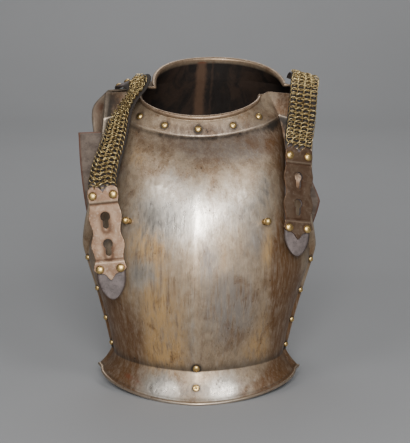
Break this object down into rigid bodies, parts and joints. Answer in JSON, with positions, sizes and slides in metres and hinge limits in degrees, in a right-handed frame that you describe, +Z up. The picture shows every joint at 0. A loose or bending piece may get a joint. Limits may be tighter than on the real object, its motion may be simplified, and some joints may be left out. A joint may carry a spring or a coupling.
{
  "type": "steel cuirass: breastplate and backplate with chain shoulder straps",
  "caption": "Cavalry cuirass: a ridged steel breastplate and a backplate with rolled neck, flared waist flanges, brass rivets and chain-covered shoulder straps.",
  "frame": {"origin": "on the floor, under the middle of the bounding box", "axes": "+Z up along the height, -Y towards the front of the breastplate, +X towards the wearer's left"},
  "size_m": [0.3344, 0.3468, 0.4313],
  "materials": {
    "steel": "polished steel, worn, with vertical polishing marks and brown staining",
    "brass": "worn brass domes, dull in the hollows",
    "strap_plate": "brown copper-red brass sheet, matt, with worn edges",
    "chain": "dull brass wire links",
    "strap_leather": "old dark leather, dry and creased",
    "belt_leather": "old brown leather, scuffed, with red-brown cut edges"
  },
  "bodies": {
    "root": {"breast_plate": "steel", "back_plate": "steel", "back_neck_rivet_1": "brass", "back_neck_rivet_2": "brass", "back_neck_rivet_3": "brass", "back_neck_rivet_4": "brass", "back_neck_rivet_5": "brass", "back_left_rivet_1": "brass", "back_left_rivet_2": "brass", "back_left_rivet_3": "brass", "back_left_rivet_4": "brass", "back_right_rivet_1": "brass", "back_right_rivet_2": "brass", "back_right_rivet_3": "brass", "back_right_rivet_4": "brass", "breast_neck_rivet_1": "brass", "breast_neck_rivet_2": "brass", "breast_neck_rivet_3": "brass", "breast_neck_rivet_4": "brass", "breast_neck_rivet_5": "brass", "breast_right_rivet_1": "brass", "breast_right_rivet_2": "brass", "breast_right_rivet_3": "brass", "breast_right_rivet_4": "brass", "breast_left_rivet_1": "brass", "breast_left_rivet_2": "brass", "breast_left_rivet_3": "brass", "breast_left_rivet_4": "brass", "chest_stud_right": "brass", "chest_stud_left": "brass", "waist_rivet_upper": "brass", "waist_rivet_lower": "brass", "strap_leather_right": "strap_leather", "strap_chain_right": "chain", "keyhole_plate_right": "strap_plate", "plate_rivet_right_1": "brass", "plate_rivet_right_2": "brass", "plate_rivet_right_3": "brass", "plate_rivet_right_4": "brass", "shoulder_rivet_right_1": "brass", "shoulder_rivet_right_2": "brass", "shoulder_rivet_right_3": "brass", "strap_leather_left": "strap_leather", "strap_chain_left": "chain", "keyhole_plate_left": "strap_plate", "plate_rivet_left_1": "brass", "plate_rivet_left_2": "brass", "plate_rivet_left_3": "brass", "plate_rivet_left_4": "brass", "shoulder_rivet_left_1": "brass", "shoulder_rivet_left_2": "brass", "shoulder_rivet_left_3": "brass", "waist_belt_right": "belt_leather", "belt_rivet_right_1": "brass", "belt_rivet_right_2": "brass", "waist_belt_left": "belt_leather", "belt_rivet_left_1": "brass", "belt_rivet_left_2": "brass"}
  },
  "joints": []
}
